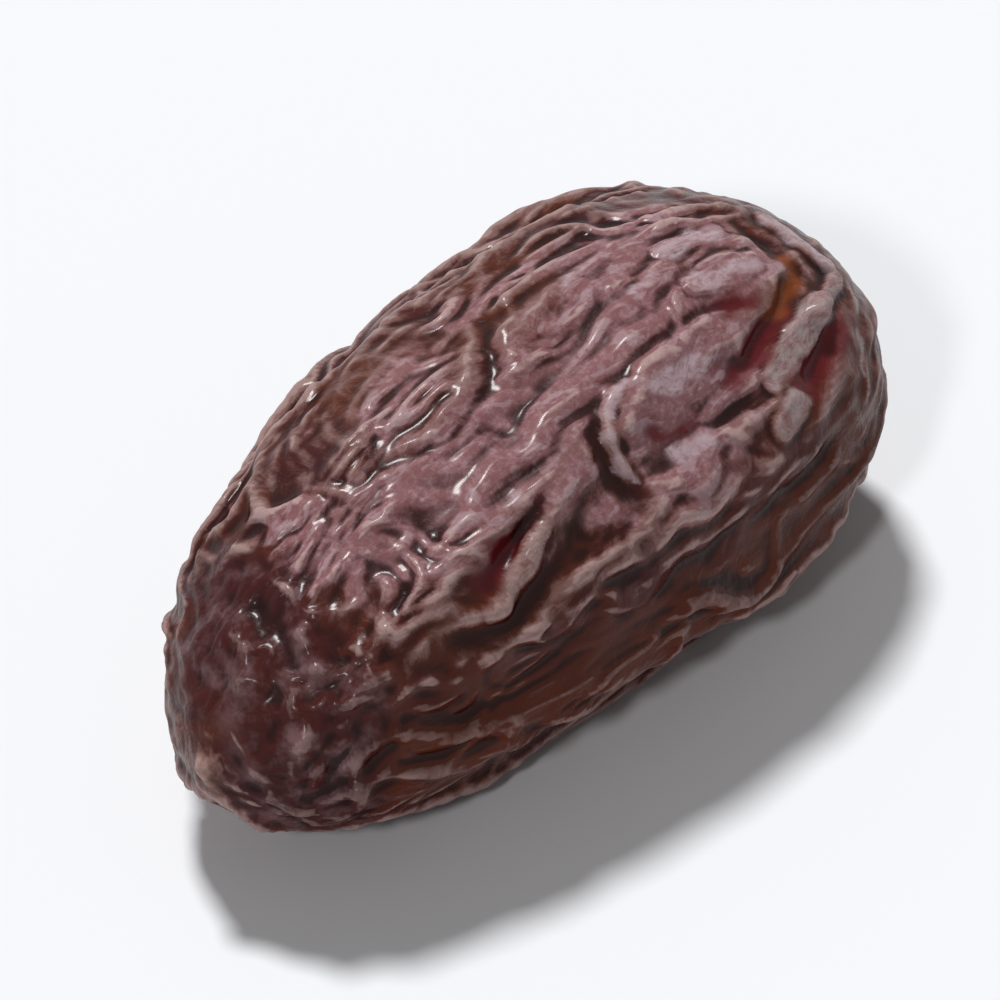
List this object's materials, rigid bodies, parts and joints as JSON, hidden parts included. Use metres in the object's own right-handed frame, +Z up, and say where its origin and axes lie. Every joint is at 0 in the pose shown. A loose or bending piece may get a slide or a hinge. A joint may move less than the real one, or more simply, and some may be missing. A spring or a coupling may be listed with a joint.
{
  "type": "date",
  "caption": "Dried date lying on its side: a plump oblong fruit with deep lengthwise wrinkles, a round stem scar at its blunt end and a small style stub at the other.",
  "frame": {"origin": "middle of the fruit's length and width, on the surface it lies on", "axes": "+X along the fruit from the apex to the stem end, +Z up"},
  "size_m": [0.046, 0.0234, 0.0208],
  "materials": {
    "date_skin": "satin"
  },
  "bodies": {
    "root": {"date_fruit": "date_skin"}
  },
  "joints": []
}
